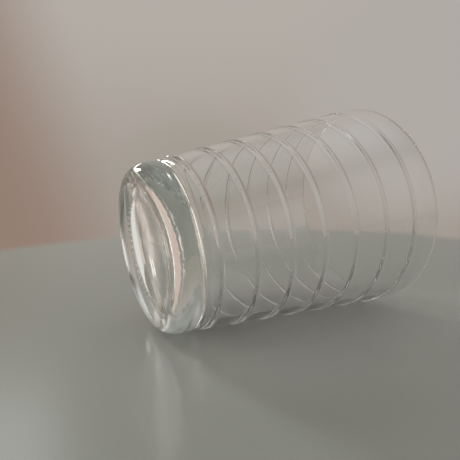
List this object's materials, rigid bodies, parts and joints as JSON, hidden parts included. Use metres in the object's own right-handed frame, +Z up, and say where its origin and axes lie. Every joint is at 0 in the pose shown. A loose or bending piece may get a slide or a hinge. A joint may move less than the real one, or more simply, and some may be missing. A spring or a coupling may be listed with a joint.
{
  "type": "drinking glass",
  "caption": "Clear pressed-glass tumbler with a heavy rounded base, a thin tapered wall, low raised rings round it and a plain rounded rim, for cold drinks.",
  "frame": {"origin": "middle of the foot, on the surface that the glass stands on", "axes": "+Z up the glass's axis, from the foot through the mouth; X and Y are free, because the glass is round"},
  "size_m": [0.08, 0.08, 0.0961],
  "materials": {
    "clear_glass": "fire-polished clear soda-lime glass, colourless with a faint grey-green cast in the thick base"
  },
  "bodies": {
    "root": {"foot_ring": "clear_glass", "base": "clear_glass", "wall": "clear_glass", "rim": "clear_glass", "ring_1": "clear_glass", "ring_2": "clear_glass", "ring_3": "clear_glass", "ring_4": "clear_glass", "ring_5": "clear_glass", "ring_6": "clear_glass", "ring_7": "clear_glass"}
  },
  "joints": []
}
